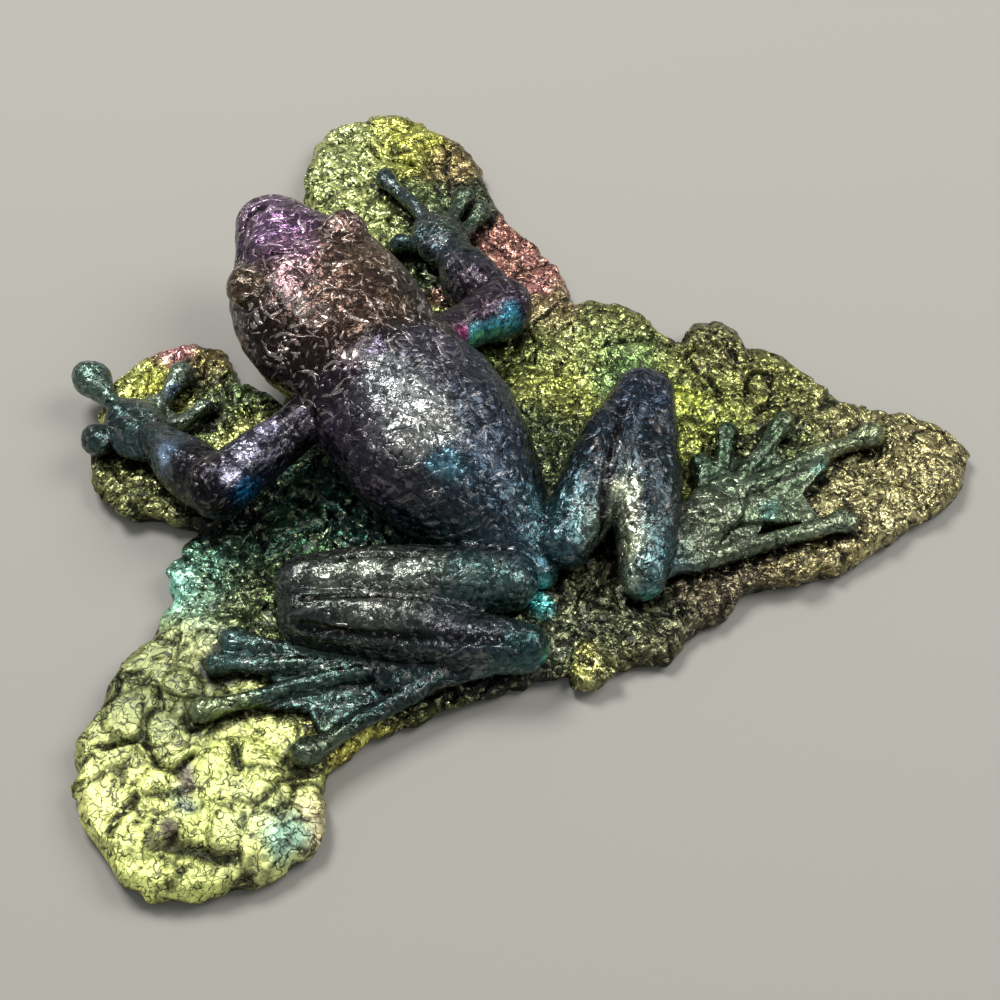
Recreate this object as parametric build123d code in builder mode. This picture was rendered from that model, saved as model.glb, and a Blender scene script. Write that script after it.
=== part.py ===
from build123d import *

import os
from math import cos, pi, radians, sin

# A tree frog cast in metal, lying on the thin uneven pad of metal that ran out under it.
# +Y is the way the frog faces, +X its right-hand side and +Z up from the face that the pad rests on.
# The origin lies on that face, under the middle of the frog's back. Lengths are millimetres.
# Headings are degrees from straight out sideways (0) to straight ahead (90); the left side mirrors them.
# Every mass is its own solid with a flat-faceted skin, like the hammered skin of the casting.
# The later of two masses that meet is cut to the earlier one's surface.

# Pad
pad_width = 146.0
pad_length = 130.0
centre_sheet_thickness = 3.6
front_lobe_thickness = 4.4
hand_lobe_thickness = 3.9
rear_lobe_thickness = 4.6
side_lobe_thickness = 4.1
cake_height = 0.7

# Trunk
trunk_length = 52.0
trunk_width = 30.6
trunk_depth = 18.2
vent_station = -35.0
chest_height = 16.6

# Head
neck_overlap = 7.0
head_length = 38.5
head_width = 29.6
head_depth = 16.0
head_height = 18.0
snout_lean = 3.2
eye_height = 22.6
eye_radius = 3.9
eye_spacing = 18.0
eye_tilt = 22.0

# Arms
shoulder_reach = 9.0
shoulder_height = 13.5
shoulder_width = 8.0
upper_arm_width = 8.0
elbow_width = 10.2
forearm_length = 17.0
forearm_width = 9.2
wrist_width = 5.6
palm_length = 9.5
palm_width = 9.4
palm_depth = 6.0
finger_length = 16.0
finger_width = 3.4

# Legs
hip_inset = 4.0
hip_reach = 5.5
hip_height = 8.4
hip_width = 9.0
thigh_length = 30.0
thigh_width = 11.8
knee_width = 9.8
knee_height = 9.6
shank_length = 36.0
shank_width = 10.8
heel_width = 7.6
heel_height = 7.0
foot_length = 22.0
foot_width = 11.0
foot_depth = 5.0
toe_length = 30.0
toe_width = 3.5
web_thickness = 1.0

# How the two sides lie
left_upper_arm_length = 22.0
right_upper_arm_length = 17.5
left_elbow_height = 11.0
right_elbow_height = 8.0
left_knee_fold = 5.0
right_knee_fold = 1.0
left_arm_headings = (-3.0, 83.0, 88.0)
right_arm_headings = (5.0, 82.0, 80.0)
left_leg_headings = (35.0, 226.0, 31.0)
right_leg_headings = (26.0, 228.0, 11.0)

# How many flats go round a tongue's rim, a cake of the pad, a limb, a palm or foot, an eye and a digit
rim_flats = 56
cake_flats = 13
limb_flats = 18
limb_bands = 6
paddle_flats = 16
eye_flats = 18
digit_flats = 10

# Where things sit along the head
eye_station_share = 0.51
shoulder_station_share = -0.013

# Body sections from the top round the right side to the belly, as shares of half the width and depth.
# The head's mouth is the corner that its stations draw in.
trunk_section_shares = [(0.0, 1.0), (0.27, 0.96), (0.52, 0.84), (0.74, 0.64), (0.91, 0.36), (1.0, 0.03),
                        (0.97, -0.32), (0.84, -0.62), (0.62, -0.84), (0.33, -0.96), (0.0, -1.0)]
head_section_shares = [(0.0, 1.0), (0.26, 0.97), (0.5, 0.87), (0.7, 0.7), (0.86, 0.48), (0.96, 0.22),
                       (1.0, -0.04), (0.98, -0.2), (0.99, -0.3), (0.97, -0.4), (0.88, -0.66), (0.66, -0.86),
                       (0.34, -0.97), (0.0, -1.0)]
mouth_corner = 8
mouth_depth_share = 0.1

# Stations of the trunk from the vent: along, width, height, depth, lean, mouth
trunk_station_shares = [(0.0, 0.06, 0.37, 0.09, 0.0, 0.0), (0.03, 0.15, 0.38, 0.22, 0.0, 0.0),
                        (0.10, 0.28, 0.42, 0.40, 0.0, 0.0), (0.20, 0.49, 0.50, 0.62, 0.0, 0.0),
                        (0.30, 0.69, 0.58, 0.79, 0.0, 0.0), (0.42, 0.86, 0.67, 0.91, 0.0, 0.0),
                        (0.54, 0.97, 0.74, 0.98, 0.0, 0.0), (0.66, 1.0, 0.80, 1.01, 0.0, 0.0),
                        (0.78, 0.95, 0.88, 1.0, 0.0, 0.0), (0.90, 0.87, 0.95, 0.93, 0.0, 0.0),
                        (1.0, 0.78, 1.0, 0.82, 0.0, 0.0)]

# Stations of the head from the neck, in the same order
head_station_shares = [(0.0, 0.86, 0.92, 0.88, 0.0, 0.0), (0.12, 0.95, 0.96, 0.98, 0.0, 0.0),
                       (0.24, 0.99, 0.99, 1.01, 0.0, 0.3), (0.36, 1.0, 1.01, 1.0, 0.0, 0.9),
                       (0.47, 0.96, 1.02, 0.97, 0.08, 1.0), (0.57, 0.87, 1.02, 0.89, 0.20, 1.0),
                       (0.67, 0.72, 1.01, 0.80, 0.44, 1.0), (0.77, 0.56, 1.01, 0.72, 0.68, 1.0),
                       (0.87, 0.42, 1.0, 0.61, 0.90, 1.0), (0.95, 0.28, 0.99, 0.45, 0.98, 0.8),
                       (1.0, 0.11, 0.97, 0.18, 1.0, 0.0)]

# Girth of a palm and a foot along its length
palm_station_shares = [(0.0, 0.56), (0.2, 0.84), (0.45, 1.0), (0.7, 0.93), (0.88, 0.7), (1.0, 0.4)]
foot_station_shares = [(0.0, 0.46), (0.3, 0.66), (0.6, 0.84), (0.85, 0.88), (1.0, 0.6)]

# The ball of a limb and the dome of an eye, as (along, radius) in their own radii
limb_ball_shares = [(0.38, 0.93), (0.7, 0.71), (0.92, 0.39)]
eye_dome_shares = [(-0.9, 0.8), (0.0, 1.0), (0.34, 0.94), (0.64, 0.77), (0.86, 0.51), (0.98, 0.2)]

# A digit's pad as (back from the tip, radius) in widths of the pad, and the narrowest place of its stem
digit_pad_shares = [(1.0, 0.36), (0.72, 0.46), (0.42, 0.5), (0.14, 0.36), (0.0, 0.14)]
digit_waist_share = 0.38
digit_rise_share = 0.34

# Digits: name, root along the palm or foot, heading, length, thickness of its tip
left_finger_shares = [("long", 0.6, 88.0, 0.94, 1.8), ("second", 0.3, 150.0, 1.0, 1.3),
                      ("inner", 0.05, 172.0, 0.8, 0.95), ("outer", 0.35, 30.0, 0.6, 1.5)]
right_finger_shares = [("long", 0.6, 84.0, 1.16, 1.25), ("second", 0.3, 35.0, 0.88, 1.25),
                       ("outer", 0.1, 20.0, 0.82, 1.2), ("inner", 0.2, 130.0, 0.62, 1.1)]
left_toe_shares = [("long", 0.9, 24.0, 0.98, 1.2), ("outer", 0.3, 6.0, 1.04, 1.35),
                   ("third", 0.9, 40.0, 0.9, 1.15), ("inner", 0.9, 49.0, 0.85, 1.3)]
right_toe_shares = [("long", 0.9, -11.0, 1.01, 1.25), ("outer", 0.1, -21.0, 1.12, 1.15),
                    ("third", 0.9, 15.0, 0.69, 1.2), ("second", 0.85, 42.0, 0.54, 1.2),
                    ("inner", 0.7, 50.0, 0.4, 1.15)]

# How far the skin between the digits reaches along them, and how far its edge hangs back between two
finger_web_share = 0.34
toe_web_share = 0.5
web_hang_share = 0.82

# Outlines of the pad's tongues, as shares of its width and length, and how their rims round over
centre_sheet_shares = [(0.26, 0.06), (0.315, 0.045), (0.33, 0.0), (0.335, -0.07), (0.34, -0.17),
                       (0.29, -0.29), (0.19, -0.375), (0.09, -0.40), (0.03, -0.405), (-0.005, -0.385),
                       (-0.04, -0.355), (-0.09, -0.33), (-0.17, -0.303), (-0.245, -0.285), (-0.30, -0.28),
                       (-0.34, -0.20), (-0.355, -0.11), (-0.355, -0.03), (-0.31, 0.012), (-0.265, 0.06),
                       (-0.19, 0.09), (-0.10, 0.14), (-0.03, 0.185), (0.055, 0.20), (0.165, 0.155)]
front_lobe_shares = [(0.03, 0.30), (0.08, 0.37), (0.13, 0.435), (0.18, 0.505), (0.245, 0.53), (0.305, 0.485),
                     (0.325, 0.40), (0.315, 0.295), (0.29, 0.22), (0.295, 0.145), (0.26, 0.06), (0.15, 0.03),
                     (0.04, 0.10), (0.0, 0.20)]
hand_lobe_shares = [(-0.245, 0.07), (-0.27, 0.115), (-0.295, 0.165), (-0.295, 0.22), (-0.26, 0.265),
                    (-0.22, 0.305), (-0.17, 0.335), (-0.12, 0.33), (-0.09, 0.29), (-0.09, 0.23),
                    (-0.075, 0.17), (-0.10, 0.11), (-0.15, 0.06), (-0.205, 0.04)]
rear_lobe_shares = [(-0.355, -0.03), (-0.41, -0.05), (-0.46, -0.08), (-0.50, -0.135), (-0.515, -0.19),
                    (-0.515, -0.255), (-0.49, -0.30), (-0.445, -0.33), (-0.385, -0.352), (-0.335, -0.335),
                    (-0.315, -0.295), (-0.26, -0.265), (-0.23, -0.20), (-0.25, -0.11), (-0.29, -0.04)]
side_lobe_shares = [(0.335, -0.07), (0.365, -0.058), (0.39, -0.085), (0.388, -0.13), (0.415, -0.165),
                    (0.415, -0.26), (0.435, -0.305), (0.475, -0.36), (0.482, -0.415), (0.46, -0.44),
                    (0.405, -0.465), (0.32, -0.452), (0.26, -0.45), (0.175, -0.41), (0.09, -0.40),
                    (0.07, -0.34), (0.14, -0.28), (0.21, -0.17), (0.27, -0.08)]
rim_shares = [(0.0, 0.965), (0.3, 1.0), (0.78, 0.99), (1.0, 0.95)]

# Cakes of metal that set on top of each tongue: middle as shares of the pad's width and length, then the
# radius as a share of its width
centre_cake_shares = [(0.266, -0.002, 0.031), (0.0, -0.28, 0.027), (-0.02, -0.367, 0.022),
                      (-0.282, 0.017, 0.024), (-0.254, -0.052, 0.024)]
front_cake_shares = [(0.194, 0.45, 0.031), (0.284, 0.412, 0.024), (0.275, 0.288, 0.022),
                     (0.173, 0.355, 0.022)]
hand_cake_shares = [(-0.175, 0.286, 0.018), (-0.262, 0.159, 0.026)]
rear_cake_shares = [(-0.415, -0.105, 0.029), (-0.403, -0.159, 0.034), (-0.36, -0.102, 0.017),
                    (-0.46, -0.223, 0.044), (-0.371, -0.244, 0.044), (-0.393, -0.299, 0.038)]
side_cake_shares = [(0.36, -0.095, 0.018), (0.38, -0.183, 0.022), (0.354, -0.203, 0.013),
                    (0.425, -0.4, 0.038), (0.229, -0.416, 0.022), (0.324, -0.42, 0.026)]
cake_wobble_shares = [(2, 0.1), (3, 0.09), (5, 0.05)]
cake_crown_share = 0.8

neck_station = vent_station + trunk_length - neck_overlap
eye_station = neck_station + head_length * eye_station_share
shoulder_station = neck_station + head_length * shoulder_station_share
hip_station = vent_station + hip_inset

poured = []


def unit_across(axis):
    """The level direction square to an axis."""
    return axis.cross(Vector(0, 0, 1)).normalized()


def towards(start, side, heading, reach, height):
    """The point a level reach away from start, along a heading, at its own height."""
    angle = radians(heading)
    return Vector(start.X + side * reach * cos(angle), start.Y + reach * sin(angle), height)


def boxes_meet(first, second):
    """Whether two masses are near enough to touch."""
    one = first.bounding_box()
    two = second.bounding_box()
    across = one.min.X < two.max.X and two.min.X < one.max.X
    along = one.min.Y < two.max.Y and two.min.Y < one.max.Y
    return across and along and one.min.Z < two.max.Z and two.min.Z < one.max.Z


def pour(piece, label):
    """Cut a mass to those poured before it, name it and write it out."""
    whole = piece.part
    with BuildPart() as cut:
        add(whole)
        for other in poured:
            if boxes_meet(cut.part, other):
                add(other, mode=Mode.SUBTRACT)
        main = cut.part.solids().sort_by(SortBy.VOLUME)[-1]
        add(main, mode=Mode.REPLACE)
    cut.part.label = label
    export_step(cut.part, f"parts/{label}.step")
    poured.append(whole)


def flat_skinned(rings):
    """A solid whose skin is stretched flat between rings of corners, with a flat face at each end."""
    faces = [Face(Wire.make_polygon(rings[0])), Face(Wire.make_polygon(rings[-1]))]
    for near, far in zip(rings, rings[1:]):
        for corner in range(len(near)):
            faces.append(Face(Wire.make_polygon([near[corner - 1], near[corner], far[corner]])))
            faces.append(Face(Wire.make_polygon([near[corner - 1], far[corner], far[corner - 1]])))
    return Solid(Shell(faces))


def level_ring(outline, middle, spread, height):
    """An outline drawn in or out about its middle, at a height."""
    return [middle + (corner - middle) * spread + Vector(0, 0, height) for corner in outline]


def cake(x_share, y_share, radius_share, thickness):
    """A wobbly round cake of metal, sunk in the tongue that it set on."""
    middle = Vector(x_share * pad_width, y_share * pad_length)
    outline = []
    for corner in range(cake_flats):
        turn = 2 * pi * corner / cake_flats
        wobble = 0
        for waves, swing in cake_wobble_shares:
            wobble += swing * sin(waves * turn + 2 * pi * waves ** 2 * x_share)
        radius = radius_share * pad_width * (1 + wobble)
        outline.append(middle + Vector(radius * cos(turn), radius * sin(turn)))
    foot = level_ring(outline, middle, 1, thickness / 2)
    brim = level_ring(outline, middle, 1, thickness + cake_height / 2)
    crown = level_ring(outline, middle, cake_crown_share, thickness + cake_height)
    return flat_skinned([foot, brim, crown])


def pad_tongue(label, outline_shares, cake_shares, thickness):
    """One tongue of spilled metal, flat underneath with a rounded rim, and the cakes that set on it."""
    rim = Edge.make_spline([Vector(x * pad_width, y * pad_length) for x, y in outline_shares], periodic=True)
    outline = [rim @ (corner / rim_flats) for corner in range(rim_flats)]
    middle = sum(outline, Vector(0, 0, 0)) / rim_flats
    rings = [level_ring(outline, middle, spread, thickness * level) for level, spread in rim_shares]
    with BuildPart() as piece:
        add(flat_skinned(rings))
        for x_share, y_share, radius_share in cake_shares:
            add(cake(x_share, y_share, radius_share, thickness))
    pour(piece, label)


def body(label, start, length, width, height, depth, lean, section_shares, station_shares):
    """The trunk or the head: ovals along Y, with the mouth drawn in where there is one."""
    rings = []
    for along, broad, high, deep, leaning, mouth in station_shares:
        half = [(x * width / 2 * broad, z * depth / 2 * deep) for x, z in section_shares]
        mouth_x, mouth_z = half[mouth_corner]
        half[mouth_corner] = (mouth_x * (1 - mouth_depth_share * mouth), mouth_z)
        left = [(-x, z) for x, z in reversed(half[1:-1])]
        middle = Vector(lean * leaning, start + length * along, height * high)
        rings.append([middle + Vector(x, 0, z) for x, z in half + left])
    with BuildPart() as piece:
        add(flat_skinned(rings))
    pour(piece, label)


def spindle(root, axis, flats, stations):
    """A flat-sided solid about a line, from its stations as (along, half width, half depth)."""
    rings = []
    for along, half_width, half_depth in stations:
        across = Plane(origin=root + axis.normalized() * along, x_dir=unit_across(axis), z_dir=axis)
        turns = [2 * pi * (corner + 1 / 2) / flats for corner in range(flats)]
        rings.append([across.from_local_coords(Vector(half_width * cos(turn), half_depth * sin(turn)))
                      for turn in turns])
    return flat_skinned(rings)


def eye(label, side):
    """A domed eye that stands out of the head and leans outwards."""
    centre = Vector(side * eye_spacing / 2, eye_station, eye_height)
    lean = radians(eye_tilt)
    dome = [(eye_radius * along, eye_radius * girth) for along, girth in eye_dome_shares]
    stations = [(along, radius, radius) for along, radius in dome]
    with BuildPart() as piece:
        add(spindle(centre, Vector(side * sin(lean), 0, cos(lean)), eye_flats, stations))
    pour(piece, label)


def limb(label, root, tip, root_width, middle_width, tip_width):
    """A round limb that swells between its ends and closes in a ball beyond its root and at its tip."""
    axis = tip - root
    root_radius = root_width / 2
    tip_radius = tip_width / 2
    shaft = axis.length - tip_radius
    bulge = middle_width / 2 - (root_radius + tip_radius) / 2
    profile = [(-root_radius * along, root_radius * girth) for along, girth in reversed(limb_ball_shares)]
    for band in range(limb_bands + 1):
        share = band / limb_bands
        straight = root_radius + (tip_radius - root_radius) * share
        profile.append((shaft * share, straight + bulge * sin(pi * share)))
    profile += [(shaft + tip_radius * along, tip_radius * girth) for along, girth in limb_ball_shares]
    with BuildPart() as piece:
        add(spindle(root, axis, limb_flats, [(along, radius, radius) for along, radius in profile]))
    pour(piece, label)


def by_heading(entry):
    """A digit's heading, to sort the digits from the outer one to the inner one."""
    return entry[2]


def web(side, root, tip, digit_shares, length, reach_share, resting_height):
    """The thin skin that lies between the digits, with its edge hanging back between each two."""
    corners = [root]
    for name, root_share, heading, length_share, tip_share in sorted(digit_shares, key=by_heading):
        start = root + (tip - root) * root_share
        reach = towards(start, side, heading, length * length_share * reach_share, resting_height)
        if len(corners) > 1:
            corners.append(tip + ((corners[-1] + reach) / 2 - tip) * web_hang_share)
        corners.append(reach)
    rings = [[Vector(corner.X, corner.Y, height) for corner in corners]
             for height in (resting_height / 2, resting_height + web_thickness)]
    return flat_skinned(rings)


def paddle(label, root, tip, width, depth, girth_shares, skin):
    """A palm or foot: flat ovals square to its length, with the skin between its digits."""
    axis = tip - root
    stations = [(axis.length * along, width / 2 * girth, depth / 2 * girth) for along, girth in girth_shares]
    with BuildPart() as piece:
        add(spindle(root, axis, paddle_flats, stations))
        add(skin)
    pour(piece, label)


def digit(label, root, tip, width, tip_width):
    """A finger or toe: a slim stem that ends in a swollen pad."""
    axis = tip - root
    pad = [(axis.length - tip_width * back, tip_width * radius) for back, radius in digit_pad_shares]
    waist = (pad[0][0] - tip_width / 2, width * digit_waist_share)
    stations = [(along, radius, radius) for along, radius in [(0, width / 2), waist] + pad]
    with BuildPart() as piece:
        add(spindle(root, axis, digit_flats, stations))
    pour(piece, label)


def digits(prefix, side, root, tip, digit_shares, length, width, resting_height):
    """The fingers of a hand or the toes of a foot, fanned out from the bone that carries them."""
    for name, root_share, heading, length_share, tip_share in digit_shares:
        start = root + (tip - root) * root_share
        rise = width * tip_share * digit_rise_share
        end = towards(start, side, heading, length * length_share, resting_height + rise)
        digit(f"{prefix}_{name}", start, end, width, width * tip_share)


def arm(name, side, upper_arm_length, elbow_height, headings, finger_shares, resting_height):
    """Upper arm, forearm, palm and fingers of one side."""
    upper_heading, fore_heading, palm_heading = headings
    palm_height = resting_height + palm_depth / 2
    shoulder = Vector(side * shoulder_reach, shoulder_station, shoulder_height)
    elbow = towards(shoulder, side, upper_heading, upper_arm_length, elbow_height)
    elbow_end = towards(elbow, side, upper_heading, elbow_width / 2, elbow_height)
    wrist = towards(elbow, side, fore_heading, forearm_length, palm_height)
    wrist_end = towards(wrist, side, fore_heading, wrist_width / 2, palm_height)
    knuckles = towards(wrist, side, palm_heading, palm_length, palm_height)
    palm_start = towards(wrist, side, palm_heading, -palm_depth / 2, palm_height)
    limb(f"{name}_upper_arm", shoulder, elbow_end, shoulder_width, upper_arm_width, elbow_width)
    limb(f"{name}_forearm", elbow, wrist_end, forearm_width, forearm_width, wrist_width)
    skin = web(side, wrist, knuckles, finger_shares, finger_length, finger_web_share, resting_height)
    paddle(f"{name}_palm", palm_start, knuckles, palm_width, palm_depth, palm_station_shares, skin)
    digits(f"{name}_finger", side, wrist, knuckles, finger_shares, finger_length, finger_width,
           resting_height)


def leg(name, side, knee_fold, headings, toe_shares, resting_height):
    """Thigh, shank, foot and toes of one side, folded like a Z."""
    thigh_heading, shank_heading, foot_heading = headings
    foot_height = resting_height + foot_depth / 3
    hip = Vector(side * hip_reach, hip_station, hip_height)
    knee = towards(hip, side, thigh_heading, thigh_length, knee_height)
    knee_end = towards(knee, side, thigh_heading, knee_width / 2, knee_height)
    folded_knee = towards(knee, side, thigh_heading - 90, knee_fold, knee_height)
    heel = towards(folded_knee, side, shank_heading, shank_length, heel_height)
    ankle = towards(heel, side, shank_heading, -heel_width / 2, foot_height)
    knuckles = towards(ankle, side, foot_heading, foot_length, foot_height)
    limb(f"{name}_thigh", hip, knee_end, hip_width, thigh_width, knee_width)
    limb(f"{name}_shank", folded_knee, heel, hip_width, shank_width, heel_width)
    skin = web(side, ankle, knuckles, toe_shares, toe_length, toe_web_share, resting_height)
    paddle(f"{name}_foot", ankle, knuckles, foot_width, foot_depth, foot_station_shares, skin)
    digits(f"{name}_toe", side, ankle, knuckles, toe_shares, toe_length, toe_width, resting_height)


os.makedirs("parts", exist_ok=True)

pad_tongue("centre_sheet", centre_sheet_shares, centre_cake_shares, centre_sheet_thickness)
pad_tongue("front_lobe", front_lobe_shares, front_cake_shares, front_lobe_thickness)
pad_tongue("left_hand_lobe", hand_lobe_shares, hand_cake_shares, hand_lobe_thickness)
pad_tongue("left_rear_lobe", rear_lobe_shares, rear_cake_shares, rear_lobe_thickness)
pad_tongue("right_side_lobe", side_lobe_shares, side_cake_shares, side_lobe_thickness)

body("trunk", vent_station, trunk_length, trunk_width, chest_height, trunk_depth, 0, trunk_section_shares,
     trunk_station_shares)
body("head", neck_station, head_length, head_width, head_height, head_depth, snout_lean, head_section_shares,
     head_station_shares)
eye("left_eye", -1)
eye("right_eye", 1)

leg("left", -1, left_knee_fold, left_leg_headings, left_toe_shares, rear_lobe_thickness)
leg("right", 1, right_knee_fold, right_leg_headings, right_toe_shares, side_lobe_thickness)
arm("left", -1, left_upper_arm_length, left_elbow_height, left_arm_headings, left_finger_shares,
    hand_lobe_thickness)
arm("right", 1, right_upper_arm_length, right_elbow_height, right_arm_headings, right_finger_shares,
    front_lobe_thickness)
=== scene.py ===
from math import pi, radians, sin, cos, tan

import bpy
import numpy as np
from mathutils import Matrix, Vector
from mathutils.bvhtree import BVHTree
from mathutils.kdtree import KDTree


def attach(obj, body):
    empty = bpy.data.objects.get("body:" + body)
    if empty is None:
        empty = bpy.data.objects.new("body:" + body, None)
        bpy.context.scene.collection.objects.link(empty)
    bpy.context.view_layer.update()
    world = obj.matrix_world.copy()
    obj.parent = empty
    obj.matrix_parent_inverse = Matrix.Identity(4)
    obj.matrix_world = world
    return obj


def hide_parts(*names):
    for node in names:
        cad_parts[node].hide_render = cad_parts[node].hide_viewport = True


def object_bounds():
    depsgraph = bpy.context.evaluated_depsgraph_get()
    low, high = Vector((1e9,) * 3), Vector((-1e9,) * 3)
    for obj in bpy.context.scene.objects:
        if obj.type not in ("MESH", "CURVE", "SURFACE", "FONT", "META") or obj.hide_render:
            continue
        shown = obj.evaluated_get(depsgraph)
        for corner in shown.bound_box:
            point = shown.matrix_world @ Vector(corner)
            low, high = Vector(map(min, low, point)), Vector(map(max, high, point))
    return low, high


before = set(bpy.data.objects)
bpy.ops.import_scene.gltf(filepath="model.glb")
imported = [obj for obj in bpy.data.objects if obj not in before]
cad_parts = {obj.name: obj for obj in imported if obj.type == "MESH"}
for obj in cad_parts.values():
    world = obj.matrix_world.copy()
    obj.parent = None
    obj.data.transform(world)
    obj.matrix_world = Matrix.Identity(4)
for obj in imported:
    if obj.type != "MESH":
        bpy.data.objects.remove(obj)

# A tree frog cast in metal on the pad of metal that ran out under it. Shapes are worked out in millimetres,
# in the frame of the CAD model, and turned to metres where a mesh is made.
cad_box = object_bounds()
MM = 0.001

# Camera, fitted to the photograph
view_azimuth = radians(-38.5)
view_elevation = radians(55.0)
view_half_angle = radians(16.0)
view_distance = 0.279
view_target = Vector((0.0063, -0.0142, 0.0))
sensor_width = 36.0

# Surroundings, in metres and watts. Each lamp has its place, size and power.
floor_reach = 1.2
floor_colour = (164, 161, 152)
floor_roughness = 0.8
room_colour = (0.34, 0.35, 0.37)
LAMPS = {"window": ((0.0, 0.36, 0.62), 0.26, 3.8), "room_fill": ((0.45, -0.20, 0.55), 0.4, 2.8)}

# Mesh detail: voxels in millimetres, and rounds of evening out
frog_voxel = 0.34
pad_voxel = 0.35
frog_smoothing = 5
pad_smoothing = 3
smoothing_factor = 0.5
hollow_blur = 4
border_blur = 50

# How far from the sides of the CAD model's box a skin starts to be eased back
frog_margin = np.array([1.2, 1.2, 0.6])
pad_margin = np.array([1.2, 1.2, 0.001])

# What a place is multiplied with to lay it flat
LEVEL = np.array([1, 1, 0])

# Large odd numbers that mix the bits of a cell's place and seed, and the bits that are kept of the result
MIX_X, MIX_Y, MIX_Z, MIX_SEED = (np.uint32(odd) for odd in (374761393, 668265263, 2246822519, 3266489917))
KEPT_BITS = np.uint32(0xFFFFFF)

# Seeds of the noises
SEEDS = {"tint": 31, "frog_bend": 201, "dents": 5, "layers": 21, "layer_patches": 23, "plate_bend": 51,
         "plates": 71, "swells": 41, "crumple": 101, "pad_bend": 111, "knobs": 131, "fine_knobs": 141}

PAD_NODES = ("centre_sheet", "front_lobe", "left_hand_lobe", "left_rear_lobe", "right_side_lobe")
PIECES = {
    "head_casting": ("head", "left_eye", "right_eye"),
    "trunk_casting": ("trunk",),
    "left_arm_casting": ("left_upper_arm", "left_forearm", "left_palm", "left_finger_long",
                         "left_finger_second", "left_finger_inner", "left_finger_outer"),
    "right_arm_casting": ("right_upper_arm", "right_forearm", "right_palm", "right_finger_long",
                          "right_finger_second", "right_finger_outer", "right_finger_inner"),
    "left_leg_casting": ("left_thigh", "left_shank", "left_foot", "left_toe_long", "left_toe_outer",
                         "left_toe_third", "left_toe_inner"),
    "right_leg_casting": ("right_thigh", "right_shank", "right_foot", "right_toe_long", "right_toe_outer",
                          "right_toe_third", "right_toe_second", "right_toe_inner"),
}

# Skin between the digits: how far it reaches along them, and what it hangs between on each hand and foot
WEBS = {
    "left_foot": (0.78, ("left_toe_outer", "left_toe_long", "left_toe_third", "left_toe_inner")),
    "right_foot": (0.78, ("right_toe_outer", "right_toe_long", "right_toe_third", "right_toe_second",
                          "right_toe_inner")),
    "left_palm": (0.6, ("left_forearm", "left_finger_outer", "left_finger_long", "left_finger_second",
                        "left_finger_inner")),
    "right_palm": (0.6, ("right_finger_inner", "right_finger_long", "right_finger_second",
                         "right_finger_outer")),
}
# How far the middle of a web's edge reaches beside its ends, how far its top and bottom lie from the line of
# the digits, and how much of a digit is its end, in millimetres
web_hang = 0.8
web_top = 0.2
web_depth = 2.5
digit_end = 2.0

# How far noise bends the tints, in millimetres, and how sharply one gives way to the next
tint_bend_size = 6.0
frog_tint_bend = 1.1
pad_tint_bend = 1.6
tint_focus = 1.6

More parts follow.
